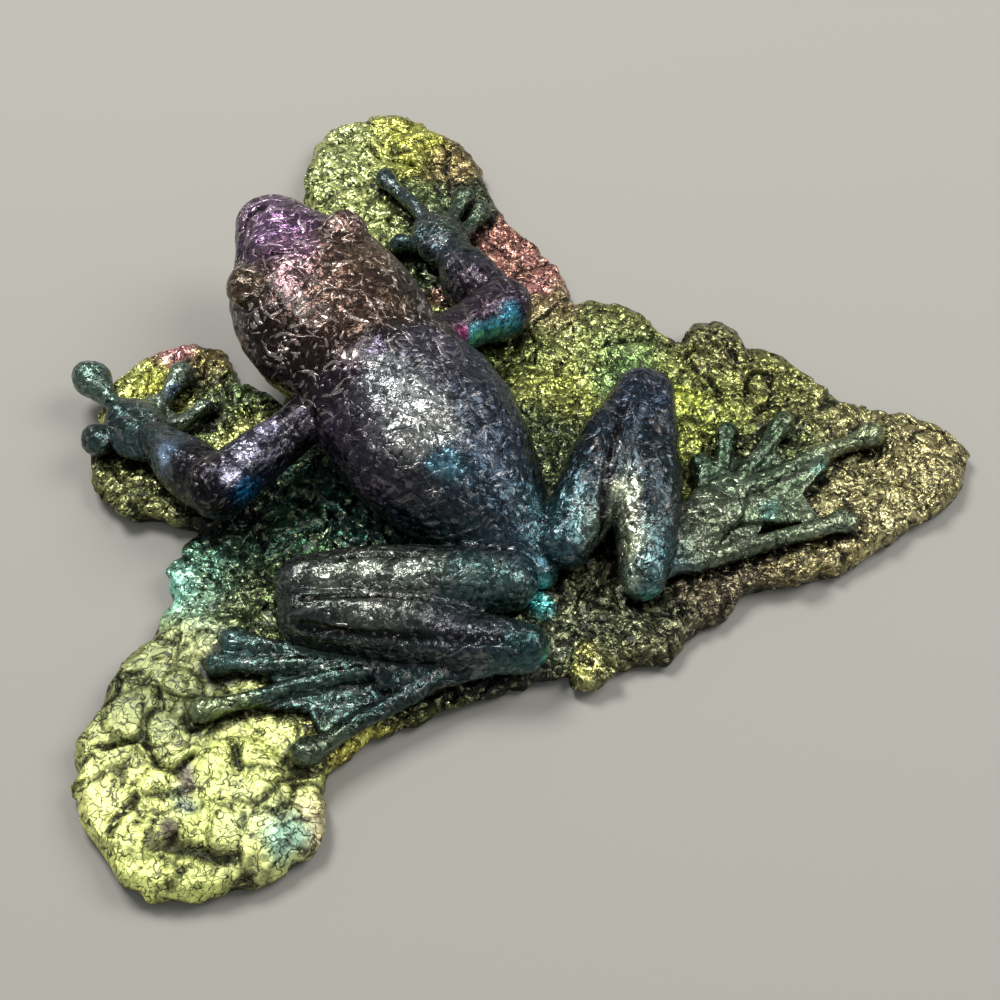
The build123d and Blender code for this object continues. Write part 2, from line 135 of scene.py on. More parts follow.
# Heat tint, with some painted highlights and painted shadows among it, as places in millimetres, how far each
# reaches, and a screen colour. The spots lie on top.
FROG_TINTS = [
    ((1, 41, 23), 5, (126, 98, 128)),    # top of the snout
    ((-1, 46, 20), 4, (100, 76, 98)),
    ((6, 39, 22), 4, (96, 62, 96)),
    ((-7, 41, 18), 5, (74, 54, 72)),     # side of the snout
    ((9, 38, 16), 6, (66, 48, 66)),
    ((0, 31, 26), 3, (138, 102, 126)),   # between the eyes
    ((-3, 26, 26), 4, (118, 92, 94)),
    ((-11, 28, 25), 3, (96, 82, 66)),    # left eye
    ((8, 29, 26), 3, (104, 82, 74)),     # right eye
    ((10, 22, 24), 4, (116, 98, 78)),
    ((2, 20, 26), 6, (92, 71, 60)),      # crown
    ((-4, 16, 25), 6, (82, 64, 54)),
    ((7, 14, 24), 5, (64, 50, 38)),
    ((12, 14, 19), 6, (56, 47, 38)),
    ((-10, 18, 23), 5, (40, 31, 28)),    # left of the crown
    ((-7, 11, 22), 5, (46, 36, 31)),
    ((-13, 24, 18), 5, (46, 35, 41)),    # left cheek
    ((-14, 14, 15), 6, (44, 34, 41)),
    ((-1, 7, 24), 3, (38, 32, 42)),      # nape
    ((-8, 8, 22), 4, (54, 43, 54)),
    # The first two places of the middle of the back are a painted highlight.
    ((-4, -1, 22), 6, (134, 138, 138)),  # middle of the back
    ((-3, -7, 21), 5, (146, 148, 142)),
    ((5, 1, 22), 5, (76, 74, 86)),
    ((8, -8, 19), 6, (58, 66, 76)),
    ((-11, 1, 19), 6, (60, 52, 68)),     # left flank
    ((-14, -7, 14), 6, (56, 52, 62)),
    ((-13, -13, 9), 5, (28, 34, 60)),
    ((-9, -16, 15), 6, (52, 52, 54)),
    ((-9, -20, 11), 5, (30, 58, 56)),
    ((6, -17, 17), 6, (50, 62, 76)),
    ((-4, -16, 18), 4, (62, 84, 96)),
    ((-4, -23, 14), 5, (48, 60, 70)),    # rump
    ((-4, -28, 11), 5, (60, 76, 86)),
    ((3, -33, 9), 5, (50, 84, 92)),
    ((-17, 10, 15), 5, (45, 42, 51)),    # left arm
    ((-24, 8, 14), 5, (62, 62, 72)),
    ((-27, 4, 11), 4, (36, 60, 96)),
    ((-33, 6, 13), 5, (29, 27, 33)),
    ((-34, 12, 13), 5, (30, 28, 33)),
    ((-35, 18, 12), 4, (80, 94, 106)),
    ((-35, 23, 11), 4, (66, 84, 84)),
    ((-35, 30, 9), 5, (60, 80, 76)),
    ((-34, 40, 9), 5, (88, 112, 100)),
    ((-24, 31, 7), 6, (128, 142, 124)),
    ((-38, 29, 6), 4, (62, 80, 76)),
    ((16, 12, 16), 5, (66, 54, 64)),     # right arm
    ((25, 14, 13), 5, (66, 52, 64)),
    ((29, 12, 12), 5, (58, 50, 64)),
    ((24, 22, 8), 5, (54, 54, 66)),
    ((26, 29, 8), 5, (62, 74, 82)),
    ((30, 40, 8), 6, (76, 92, 90)),
    ((34, 30, 8), 6, (74, 88, 72)),
    ((39, 35, 7), 5, (80, 96, 74)),
    ((24, 33, 6), 4, (60, 84, 80)),
    ((-10, -31, 13), 5, (76, 104, 98)),  # left leg
    ((-18, -22, 15), 6, (90, 98, 88)),
    ((-25, -18, 14), 6, (82, 88, 78)),
    ((-32, -15, 13), 6, (66, 72, 68)),
    ((-34, -20, 12), 6, (58, 64, 60)),
    ((-24, -26, 14), 6, (96, 100, 92)),
    ((-16, -35, 13), 6, (62, 64, 70)),
    ((-26, -32, 9), 6, (42, 48, 50)),
    ((-11, -42, 9), 6, (56, 84, 84)),
    ((-28, -34, 7), 7, (46, 66, 62)),
    ((-39, -25, 7), 7, (60, 82, 74)),
    ((-52, -21, 7), 5, (136, 152, 108)),
    ((-46, -35, 7), 5, (92, 106, 84)),
    ((-46, -15, 7), 5, (78, 104, 98)),
    ((6, -28, 12), 6, (66, 96, 100)),    # right leg
    ((16, -22, 13), 7, (31, 43, 50)),
    ((26, -18, 14), 7, (42, 54, 66)),
    ((31, -19, 13), 6, (48, 58, 72)),
    ((25, -26, 14), 6, (37, 47, 52)),
    ((17, -32, 13), 6, (66, 76, 80)),
    ((20, -36, 12), 6, (35, 48, 55)),
    ((11, -38, 11), 6, (112, 122, 104)),
    ((14, -42, 10), 5, (48, 84, 96)),
    ((6, -46, 8), 5, (76, 104, 108)),
    ((14, -46, 6), 6, (68, 100, 96)),
    ((24, -44, 6), 7, (100, 108, 86)),
    ((36, -42, 6), 7, (98, 114, 88)),
    ((56, -45, 6), 6, (122, 132, 98)),
    ((42, -53, 6), 6, (126, 138, 110)),
    ((36, -34, 6), 6, (64, 86, 64)),
]
FROG_SPOTS = [
    ((-5, 44, 19), 2.6, (40, 28, 38)),             # edge of the mouth
    ((-7, 39, 20), 2.4, (44, 32, 40)),
    # Painted highlight: a pale streak down the left side of the right shank, in the next five spots.
    ((19.1, -28.8, 13.0), 1.6, (116, 126, 122)),   # left side of the right shank
    ((17.2, -31.5, 12.3), 2.3, (206, 212, 184)),
    ((14.0, -35.3, 11.5), 2.5, (212, 216, 184)),
    ((11.0, -39.0, 10.6), 2.5, (206, 212, 176)),
    ((8.3, -42.7, 9.4), 2.0, (170, 190, 160)),
    # Painted highlight along the ridge of the left thigh, in the next three spots.
    ((-27.6, -17.1, 14.4), 2.0, (134, 142, 128)),  # ridge of the left thigh
    ((-22.5, -19.9, 14.8), 2.2, (146, 154, 138)),
    ((-17.7, -23.2, 14.7), 2.0, (140, 150, 136)),
    ((-3, -34, 6), 3.6, (110, 216, 214)),          # vent
    ((-9, -44, 7), 2.2, (90, 190, 180)),           # left heel
    ((-28, 4, 12), 2.6, (24, 104, 152)),           # under the left arm
    # Painted highlight on top of the left upper arm, in this and the next two spots.
    ((-29, 5, 16), 1.8, (150, 146, 166)),
    ((-25, 8, 16.4), 1.9, (158, 154, 174)),
    ((-20, 10, 16.4), 1.8, (146, 142, 164)),
    ((-35, 18, 12.6), 2.2, (150, 178, 208)),       # wrist
    ((-24, 31, 6), 1.8, (118, 148, 172)),
    ((-4, -15, 18.4), 2.4, (92, 136, 150)),        # back
    ((-2, 6, 24), 1.8, (86, 78, 94)),
    ((16.4, 6.3, 11.9), 2.4, (34, 104, 140)),      # band under the right arm
    ((20.5, 6.3, 10.1), 2.6, (30, 100, 140)),
    ((24.6, 6.3, 10.4), 2.6, (30, 96, 136)),
    ((18.7, 6.6, 12.8), 1.9, (104, 196, 212)),
    ((21.8, 6.6, 12.1), 1.9, (96, 190, 214)),
    ((24.7, 6.8, 12.3), 1.9, (84, 176, 206)),
    ((15.9, 6.9, 14.4), 1.6, (176, 84, 136)),
    ((14, -42, 9), 1.8, (92, 190, 204)),
    ((10, -47, 7), 2.2, (120, 206, 198)),
    ((36, -45, 6), 2.0, (112, 150, 134)),
    ((47, -44, 6), 2.0, (110, 146, 128)),
    ((28, -51, 4), 2.0, (110, 196, 180)),
    ((34, -53, 5), 2.0, (96, 170, 156)),
    ((-4, 31, 25), 1.6, (92, 62, 86)),
]
PAD_TINTS = [
    ((-66, -36, 4), 12, (208, 216, 128)),  # left rear lobe
    ((-69, -22, 4), 9, (218, 222, 138)),
    ((-56, -42, 4), 9, (196, 204, 138)),
    ((-60, -14, 4), 10, (128, 136, 88)),
    ((-46, -30, 4), 8, (206, 212, 126)),
    ((-51, -44, 3), 5, (184, 160, 136)),
    ((-62, -41, 3), 4, (110, 100, 66)),
    ((-50, -6, 4), 6, (152, 158, 102)),
    ((-44, 0, 4), 6, (150, 192, 162)),
    ((-38, -6, 4), 6, (78, 90, 54)),
    ((-39, 3, 4), 5, (104, 156, 128)),
    ((-24, 2, 4), 8, (32, 64, 48)),
    # Painted shadow under the left elbow.
    ((-30, 8, 4), 6, (44, 52, 40)),
    ((-14, -6, 4), 8, (30, 62, 54)),
    ((-24, -8, 4), 5, (58, 84, 44)),
    ((-41, 21, 4), 7, (116, 120, 72)),     # left hand lobe
    ((-26, 37, 4), 5, (210, 214, 112)),
    ((-19, 41, 4), 3, (214, 150, 150)),
    ((-14, 36, 4), 5, (120, 106, 62)),
    ((-16, 27, 4), 6, (72, 88, 50)),
    ((-18, 20, 4), 4, (186, 190, 110)),
    ((-12, 14, 4), 5, (52, 70, 44)),
    ((28, 60, 4), 8, (184, 194, 126)),     # front lobe
    ((26, 50, 4), 7, (178, 188, 116)),
    ((40, 56, 4), 6, (182, 184, 82)),
    ((44, 47, 4), 5, (128, 110, 70)),
    ((34, 46, 4), 5, (78, 92, 52)),
    ((36, 38, 4), 7, (72, 86, 60)),
    ((40, 28, 4), 4, (166, 112, 102)),
    ((38, 18, 4), 6, (176, 124, 112)),
    ((36, 9, 4), 5, (146, 128, 92)),
    ((27, 6, 4), 6, (112, 124, 64)),       # behind the right arm
    ((33, 2, 4), 6, (150, 158, 92)),
    ((44, -1, 4), 7, (128, 134, 76)),
    ((27, -4, 4), 6, (154, 158, 74)),
    ((37, -8, 4), 6, (118, 150, 90)),
    ((22, -8, 4), 5, (60, 70, 40)),
    ((43, -16, 4), 6, (144, 152, 80)),     # right side lobe
    ((52, -14, 4), 6, (112, 108, 66)),
    ((39, -24, 4), 6, (150, 160, 74)),
    ((54, -26, 4), 8, (122, 122, 66)),
    ((46, -36, 4), 7, (86, 96, 56)),
    ((60, -40, 4), 7, (136, 132, 86)),
    ((62, -51, 4), 8, (162, 152, 104)),
    ((52, -56, 4), 8, (158, 150, 104)),
    ((36, -56, 4), 7, (156, 144, 100)),
    ((22, -52, 4), 7, (92, 82, 62)),
    ((4, -36, 4), 6, (76, 76, 52)),
    ((0, -44, 4), 6, (72, 78, 56)),
    ((-3, -50, 4), 5, (142, 142, 92)),
    ((8, -50, 4), 6, (74, 74, 52)),
    ((-14, -44, 4), 6, (50, 54, 44)),
    ((-28, -40, 4), 6, (88, 92, 50)),
    ((-38, -37, 4), 5, (190, 184, 84)),
]
PAD_SPOTS = [
    ((-2.9, -34.6, 4.6), 2.4, (116, 222, 218)),
    # Painted shadow under the left elbow, in this and the next spot.
    ((-34, 8, 3.6), 4.0, (12, 16, 14)),  # under the left elbow
    ((-29, 6, 3.7), 3.6, (14, 22, 18)),
    ((-4, -47, 4.3), 2.8, (200, 196, 112)),
    ((-59.7, -26.9, 4.6), 2.2, (124, 112, 108)),
    ((-62, -30, 4.6), 2.4, (148, 160, 136)),
    ((-54, -42, 4.6), 4.0, (150, 188, 160)),
    ((-45, 1, 3.6), 3.4, (150, 216, 190)),
    ((-26, 36, 4), 3.6, (222, 224, 96)),
    ((-38, -36, 3.6), 4.2, (240, 232, 116)),
    ((37, 14, 4), 2.4, (206, 146, 138)),
    ((-67, -33, 4.6), 2.0, (74, 64, 50)),
    ((41, -20, 4), 3.0, (176, 186, 78)),
]

# The bright drop behind the rump: its place, its reach, its height, and how far it clears the painted shade
# of the frog's creases
VENT = (-2.9, -34.6, 4.2)
vent_reach = 2.6
vent_height = 0.9
vent_clearing = 0.9

# Lumps that stand out of the cast, as place, reach and push
FROG_BUMPS = [
    ((22, 21, 7), 4.5, 1.4),     # inside of the right forearm
    ((-40, 30, 7), 2.2, 1.0),    # web outside the left hand
    ((-39, 27, 7), 2.4, 0.8),
    ((-34.5, 33, 9), 1.7, 0.5),  # knuckles of the left long finger
    ((-35, 28, 10), 2.0, 0.5),
    ((-33, 24, 11), 2.0, 0.4),
    ((10, 22, 24), 2.6, 0.5),    # behind the right eye
    ((-11, 24, 22), 2.4, 0.4),
    ((-14, 20, 17), 5.0, 0.8),   # left cheek
    ((8, 30, 26), 3.4, 0.6),
    ((3, 41, 23), 4.0, 0.5),     # snout
    ((-3, 37, 24), 2.0, 0.4),
    ((2, 33, 26), 3.0, -0.5),    # hollow between the eyes
    ((-2, 13, 25), 5.0, 0.4),
    ((-3, 9, 23), 2.4, -0.5),    # neck
    ((6, 8, 22), 2.4, -0.4),
    ((-25, -20, 15), 6.0, 0.4),  # left thigh
    ((-22, -28, 14), 5.0, 0.4),
    ((-15, -33, 12), 3.0, -0.4),
    ((22, -30, 14), 6.0, 0.3),
]

# Cracks and slots, sunk into the pad and darkened with painted shade, as half width and the line that they
# follow, seen from above
PAD_CRACKS = [
    (0.8, [(-72.8, -27.0), (-70.5, -25.4), (-68.1, -24.9)]),
    (0.25, [(-68.1, -24.9), (-65.0, -27.4), (-60.9, -29.3)]),
    (0.3, [(-55.3, -36.7), (-50.4, -35.7), (-46.1, -36.5)]),
    (0.25, [(-54.1, -39.2), (-51.2, -38.0), (-48.3, -37.0)]),
    (0.4, [(-61.6, -16.7), (-62.2, -18.3), (-63.1, -23.1), (-61.2, -25.3), (-58.1, -25.0)]),
    (0.3, [(-67.0, -15.5), (-64.2, -16.9), (-62.5, -17.4), (-60.0, -15.4), (-57.6, -15.6), (-56.0, -12.0)]),
    (0.9, [(-67.7, -33.5), (-63.5, -37.7), (-61.5, -41.0)]),
    (0.6, [(-52.3, -26.8), (-53.3, -30.8)]),
    (0.25, [(-57.0, -20.0), (-53.0, -21.5), (-50.0, -19.0)]),
    (0.25, [(-66.5, -8.5), (-62.0, -9.5), (-58.5, -7.0), (-56.0, -8.5)]),
    (0.5, [(48.1, -12.2), (46.6, -16.8), (44.6, -23.3)]),
    (0.35, [(54.0, -11.1), (54.6, -15.8), (53.6, -20.2)]),
    (0.4, [(48.5, -26.3), (51.4, -22.8), (54.1, -22.5), (54.8, -24.9), (52.1, -28.7), (48.5, -29.0)]),
    (0.35, [(37.5, -3.2), (41.4, -3.8), (45.4, -5.1)]),
    (0.9, [(22.9, 36.0), (25.9, 32.7), (28.0, 29.5)]),
    (0.3, [(36.0, 60.0), (35.5, 55.0), (37.5, 52.0)]),
    (0.3, [(41.5, 46.5), (44.5, 49.5), (45.5, 53.0)]),
]

# Folds in the frog, pressed in and darkened with painted shade, as half width and the line in space that they
# follow
FROG_FOLDS = [
    (0.4, [(-3.1, 31.6, 25.5), (-1.8, 31.0, 25.5), (-0.4, 29.9, 25.5)]),
    (0.9, [(2.1, 42.9, 23.0), (0.3, 43.8, 22.2), (-1.7, 42.6, 21.7), (-3.8, 40.1, 21.7), (-5.9, 37.6, 21.7)]),
    (0.8, [(26.1, -19.8, 14.6), (20.6, -24.3, 14.7), (16.6, -27.9, 14.1), (13.2, -31.0, 12.8),
           (10.7, -33.7, 10.0)]),
    (0.7, [(-35.5, -20.5, 12.1), (-31.5, -24.8, 12.4), (-25.2, -30.8, 12.7), (-18.7, -36.4, 12.1),
           (-14.0, -39.7, 11.5)]),
    (0.35, [(-33.3, -17.6, 14.0), (-28.6, -21.0, 14.0), (-23.9, -24.3, 13.7), (-18.4, -29.0, 12.8)]),
    (0.35, [(-25.5, -15.5, 14.0), (-20.5, -18.3, 14.6), (-15.7, -21.8, 14.4)]),
]

# Limbs that the metal froze along in streaks. Then how many times longer than wide the streaks are, how far
# from the limb's line they reach, how much of the limb that line takes, and the noise where no limb is near.
STREAKED = ("left_thigh", "left_shank", "right_thigh", "right_shank", "left_upper_arm", "left_forearm",
            "right_upper_arm", "right_forearm", "left_foot", "right_foot", "left_toe_long", "right_toe_long",
            "left_toe_outer", "right_toe_outer")
streak_stretch = 3.5
limb_reach = 6.5
limb_share = 0.8
even_streaks = 0.12
even_weight = 0.3

# Cracks, as shares of their half width and a blur in millimetres
crack_bottom = 0.5
crack_side = 1.4
crack_blur = 0.15
groove_bottom = 0.02

# Surface of the frog, in millimetres
frog_swell = 0.1
frog_bend = 0.35
frog_bend_size = 7.0
dent_size = 3.2
dent_height = 0.28
dent_depth = 0.8
dent_edge = 0.3
layer_thickness = 1.1
layer_height = 0.06
layer_bend = 0.7
layer_bend_size = 4.0
layer_patch_size = 9.0
layer_patch_edge = (-0.5, 0.6)
fold_depth = 0.5
ring_width = 0.6

# Where the long needles, painted bright as glints, are: within these distances from the middle plane, and
# from and to these places along the frog and heights
needled_sides = (13, 16)
needled_front = (-4, 10)
needled_heights = (14, 22)
least_needles = 0.3

# Surface of the pad, in millimetres
pad_bend = 0.9
pad_bend_size = 6.5
knob_height = 0.9
knob_size = 5.0
fine_knob_height = 0.5
fine_knob_size = 2.2
side_heights = (0.8, 3.0)
plate_size = 10.0
plate_height = 0.5
plate_bend = 2.2
plate_bend_size = 6.0
gap_width = (0.1, 0.6)
gap_depth = 0.35
swell_size = 9.0
swell_height = 0.3
crumple_size = 2.8
crumple_height = 0.3
crack_drop = 0.7

# Grooves of the pad, as depth, size, width and seed
PAD_GROOVES = [(0.3, 5.0, 0.14, 103), (0.2, 2.6, 0.2, 105)]

# How far to the left the pad grows calm, and what calm takes away
calm_band = (38, 50)
calmed_plates = 0.5
calmed_crumple = 0.8
calmed_gaps = 0.1
calmed_swell = 0.15
calmed_hollows = 0.4
calmed_relief = 0.45
calmed_needles = 0.3
pad_needles = 0.6

# Painted shade in hollows, folds, eye rings, cracks, gaps between plates and where frog and pad touch, and a
# darkening towards the bottom of the pad's sides: the depths, distances or heights between which each kind
# sets in, in millimetres, and how dark it is from 0 to 1
frog_hollow = (0.015, 0.09)
pad_hollow = (0.03, 0.13)
frog_contact = (0.9, 2.2)
pad_contact = (0.9, 2.4)
upward = (0.5, 0.9)
rim_heights = (1.2, 3.0)
contact_reach = 4.0
contact_step = 3
low_frog = 9.0
hollow_dark = 0.9
contact_dark = 0.95
ring_dark = 0.7
fold_dark = 0.95
gap_dark = 0.9
rim_dark = 0.9

# Metal, the same on frog and pad. The bends are a size and an amount in millimetres.
wide_bend = (5.0, 3.0)
fine_bend = (1.6, 0.9)
noise_roughness = 0.6
worm_core = 0.3
needle_tilt = (0.4, 0.3)
needle_edge = 0.07
# How much the tint is brightened on the needles, as a painted glint
needle_glint_gain = 1.8
grain_range = (0.34, 0.64)
# How dark the colour gets where the painted shade is deepest
deepest_painted_shade = 0.06
dull_range = (0.3, 0.7)
dull_grain = 0.15
dull_calm = 0.3
coat_weight = 0.1
coat_roughness = 0.15


# Noise

def scrambled(cells, seed):
    """A repeatable number from 0 to 1 for each cell of a lattice."""
    x, y, z = (cells[..., axis].astype(np.int64).astype(np.uint32) for axis in range(3))
    mixed = x * MIX_X + y * MIX_Y + z * MIX_Z
    mixed += np.uint32(seed * int(MIX_SEED) % 2 ** 32)
    mixed = (mixed ^ (mixed >> np.uint32(15))) * MIX_Z
    mixed = (mixed ^ (mixed >> np.uint32(13))) * MIX_SEED
    return ((mixed ^ (mixed >> np.uint32(16))) & KEPT_BITS) / float(KEPT_BITS)


def wavy(points, size, seed):
    """Smooth noise from -1 to 1 whose waves are about a size long."""
    scaled = points / size
    corner = np.floor(scaled)
    part = scaled - corner
    part = part * part * (3 - 2 * part)
    total = 0
    for shift in np.ndindex(2, 2, 2):
        weight = np.prod(np.where(np.array(shift) == 1, part, 1 - part), axis=-1)
        total = total + weight * scrambled(corner + np.array(shift), seed)
    return total * 2 - 1


def rough(points, size, octaves, seed):
    """Noise with ever finer waves on top of each other."""
    return sum(wavy(points, size / 2 ** octave, seed + octave) / 2 ** octave for octave in range(octaves))


def wandering(points, size, octaves, seed):
    """Noise with its own value for each axis."""
    return np.stack([rough(points, size, octaves, seed + 10 * axis) for axis in range(3)], axis=-1)


def grooves(points, size, width, seed):
    """Grooves that wander over the skin, from 0 beside them to 1 in the middle."""
    return 1 - eased(np.abs(wavy(points, size, seed)), groove_bottom, width)


def grains(points, size, seed):
    """On the level, distance to the nearest and next grain centre, in sizes, and the nearest's own number."""
    scaled = points / size
    corner = np.floor(scaled)
    first = np.full(len(points), 9.0)
    second = np.full(len(points), 9.0)
    number = np.zeros(len(points))
    for shift in np.ndindex(3, 3, 1):
        cell = corner + np.array(shift) - np.array([1, 1, 0])
        aside = [scrambled(cell, seed), scrambled(cell, seed + 1), np.zeros(len(points))]
        centre = cell + np.stack(aside, axis=-1)
        distance = np.linalg.norm(scaled - centre, axis=-1)
        nearer = distance < first
        second = np.where(nearer, first, np.minimum(second, distance))
        number = np.where(nearer, scrambled(cell, seed + 7), number)
        first = np.where(nearer, distance, first)
    return first, second, number


def eased(value, low, high):
    """From 0 below low to 1 above high, without a corner."""
    share = np.clip((value - low) / (high - low), 0, 1)
    return share * share * (3 - 2 * share)


def nearness(points, place, reach, power):
    """How near each point is to a place, from 1 there to 0 far off."""
    return np.exp(-(np.linalg.norm(points - np.array(place), axis=1) / reach) ** power)


# Meshes

def gathered(names):
    """Corners in millimetres and faces of several CAD nodes."""
    corners, faces, start = [], [], 0
    for name in names:
        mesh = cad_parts[name].data
        places = np.empty(len(mesh.vertices) * 3)
        mesh.vertices.foreach_get("co", places)
        corners.append(places.reshape(-1, 3) / MM)
        faces += [tuple(start + corner for corner in face.vertices) for face in mesh.polygons]
        start += len(mesh.vertices)
    return np.vstack(corners), faces


def new_object(name, corners, faces):
    """An object with a mesh from corners in millimetres."""
    mesh = bpy.data.meshes.new(name)
    mesh.from_pydata((np.asarray(corners) * MM).tolist(), [], faces)
    mesh.validate()
    thing = bpy.data.objects.new(name, mesh)
    bpy.context.collection.objects.link(thing)
    return thing


def outer_skin(corners, quads):
    """The largest connected skin, without the bubbles that are closed inside the metal."""
    labels, before = np.arange(len(corners)), None
    while before is None or (labels != before).any():
        before = labels.copy()
        np.minimum.at(labels, quads.ravel(), np.repeat(labels[quads].min(axis=1), 4))
        labels = labels[labels]
    kept = quads[labels[quads[:, 0]] == np.bincount(labels).argmax()]
    used, index = np.unique(kept, return_inverse=True)
    return corners[used], index.reshape(-1, 4)


def poured(corners, faces, voxel, smoothing):
    """One closed skin round all the masses, with their joints and edges run together."""
    rough_cast = new_object("rough_cast", corners, faces)
    skin = rough_cast.modifiers.new("skin", "REMESH")
    skin.mode = "VOXEL"
    skin.voxel_size = voxel * MM
    relax = rough_cast.modifiers.new("relax", "SMOOTH")
    relax.factor = smoothing_factor
    relax.iterations = smoothing
    mesh = bpy.data.meshes.new_from_object(rough_cast.evaluated_get(bpy.context.evaluated_depsgraph_get()))
    bpy.data.objects.remove(rough_cast)
    places = np.empty(len(mesh.vertices) * 3)
    mesh.vertices.foreach_get("co", places)
    quads = np.empty(len(mesh.loops), int)
    mesh.loops.foreach_get("vertex_index", quads)
    bpy.data.meshes.remove(mesh)
    return outer_skin(places.reshape(-1, 3) / MM, quads.reshape(-1, 4))


def summed(index, values, count):
    """Rows of values added up where their index is the same."""
    return np.stack([np.bincount(index, values[:, axis], count) for axis in range(values.shape[1])], axis=-1)


def normals_of(corners, quads):
    """The direction out of the skin at each corner."""
    across = corners[quads[:, 2]] - corners[quads[:, 0]]
    along = corners[quads[:, 3]] - corners[quads[:, 1]]
    facing = np.cross(across, along)
    normals = sum(summed(quads[:, turn], facing, len(corners)) for turn in range(4))
    return normals / np.maximum(np.linalg.norm(normals, axis=1, keepdims=True), 1e-9)


def blurred(values, quads, passes):
    """Values at each corner, evened out with those of its neighbours."""
    here = np.concatenate([quads[:, turn] for turn in range(4)])
    ahead = np.concatenate([quads[:, (turn + 1) % 4] for turn in range(4)])
    neighbours = np.maximum(np.bincount(here, minlength=len(values)) * 2, 1)[:, None]
    for turn in range(passes):
        total = summed(here, values[ahead], len(values)) + summed(ahead, values[here], len(values))
        values = (values + total / neighbours) / 2
    return values


def hollowness(corners, quads, normals):
    """How far each corner lies below the skin round it, in millimetres."""
    return np.einsum("ij,ij->i", blurred(corners, quads, hollow_blur) - corners, normals)


def steepness(normals):
    """From 0 where the skin faces up to 1 where it faces sideways."""
    return np.sqrt(np.clip(1 - normals[:, 2] ** 2, 0, 1))


def spread_distance(points, others):
    """Distance from each point to the nearest of the others, as far as it matters for a contact."""
    tree = KDTree(len(others))
    for number, other in enumerate(others):
        tree.insert(other, number)
    tree.balance()
    return np.array([min(tree.find(point)[2], contact_reach) for point in points])


def face_owners(corners, quads, groups):
    """Which group of CAD nodes each face lies on, with the borders between them evened out."""
    distances = []
    for nodes in groups:
        places, faces = gathered(nodes)
        tree = BVHTree.FromPolygons(places.tolist(), faces)
        distances.append([tree.find_nearest(corner)[3] for corner in corners.tolist()])
    nearest = np.eye(len(groups))[np.argmin(distances, axis=0)]
    return blurred(nearest, quads, border_blur)[quads].sum(axis=1).argmax(axis=1)


def pushed(points, bumps):
    """How far each point is pushed out by lumps."""
    total = np.zeros(len(points))
    for place, reach, push in bumps:
        total += push * nearness(points, place, reach, 2)
    return total


def crack_depth(points, cracks):
    """How deep each point lies in a crack, from 0 to 1."""
    depth = np.zeros(len(points))
    for half_width, line in cracks:
        flat = points[:, :len(line[0])]
        for start, end in zip(np.array(line), np.array(line[1:])):
            along = np.clip((flat - start) @ (end - start) / np.sum((end - start) ** 2), 0, 1)
            distance = np.linalg.norm(flat - start - along[:, None] * (end - start), axis=1)
            sides = eased(distance, half_width * crack_bottom, half_width * crack_side + crack_blur)
            depth = np.maximum(depth, 1 - sides)
    return depth


def kept_inside(points, margin):
    """Points eased back where they come near the CAD model's box or would leave it."""
    low, high = np.array(cad_box) / MM
    over = np.maximum(points - (high - margin), 0)
    under = np.maximum(low + margin - points, 0)
    inside = np.clip(points, low + margin, high - margin)
    return inside + margin * (1 - np.exp(-over / margin)) - margin * (1 - np.exp(-under / margin))


# Tint

def to_linear(colour):
    """A screen colour as the light that it stands for."""
    share = np.asarray(colour, float) / 255
    return np.where(share <= 0.04045, share / 12.92, ((share + 0.055) / 1.055) ** 2.4)


def tinted(points, tints, spots, bend):
    """Heat tint at each point, with the painted highlights and shadows that the tables hold, from the nearest
    places of the table and then the spots on top.
    """
    moved = points + bend * wandering(points, tint_bend_size, 3, SEEDS["tint"])
    total = np.zeros((len(points), 3))
    weight = np.full((len(points), 1), 1e-12)
    for place, reach, colour in tints:
        away = np.linalg.norm(moved - np.array(place), axis=1) / reach
        near = np.exp(-away ** 2 * tint_focus)[:, None]
        total += near * to_linear(colour)
        weight += near
    tint = total / weight
    for place, reach, colour in spots:
        tint += nearness(moved, place, reach, 4)[:, None] * (to_linear(colour) - tint)
    return tint


def finished(name, cast, kept, material, nodes):
    """The faces that a piece keeps, with their own corners, normals and colour, riding on the casting."""
    used, index = np.unique(cast["quads"][kept], return_inverse=True)
    piece = new_object(name, cast["corners"][used], index.reshape(-1, 4).tolist())
    mesh = piece.data
    mesh.shade_smooth()
    mesh.normals_split_custom_set_from_vertices(cast["normals"][used].tolist())
    layer = mesh.attributes.new("tint", "FLOAT_COLOR", "POINT")
    layer.data.foreach_set("color", np.hstack([cast["tint"][used], np.ones((len(used), 1))]).ravel())
    for key in ("painted_shade", "needles", "rugged"):
        layer = mesh.attributes.new(key, "FLOAT", "POINT")
        layer.data.foreach_set("value", cast[key][used])
    mesh.materials.append(material)
    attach(piece, "root")
    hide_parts(*nodes)


# Materials

def shader_node(tree, kind, inputs=None, **settings):
    """A shader node with its inputs set or linked."""
    made = tree.nodes.new(kind)
    for key, value in settings.items():
        setattr(made, key, value)
    for key, value in (inputs or {}).items():
        if isinstance(value, bpy.types.NodeSocket):
            tree.links.new(value, made.inputs[key])
        else:
            made.inputs[key].default_value = value
    return made


def painted(tree, key, kind="Fac"):
    """What the skin carries at its corners under a name."""
    return shader_node(tree, "ShaderNodeAttribute", attribute_name=key).outputs[kind]


def noise_value(tree, place, size, detail, kind="Fac"):
    """Cloudy noise whose waves are about a size long, in millimetres."""
    inputs = {"Vector": place, "Scale": 1 / (size * MM), "Detail": detail, "Roughness": noise_roughness}
    return shader_node(tree, "ShaderNodeTexNoise", inputs).outputs[kind]


def ramp(tree, value, low, high, start, end):
    """A value carried from one range to another."""
    inputs = {"Value": value, "From Min": low, "From Max": high, "To Min": start, "To Max": end}
    return shader_node(tree, "ShaderNodeMapRange", inputs).outputs["Result"]


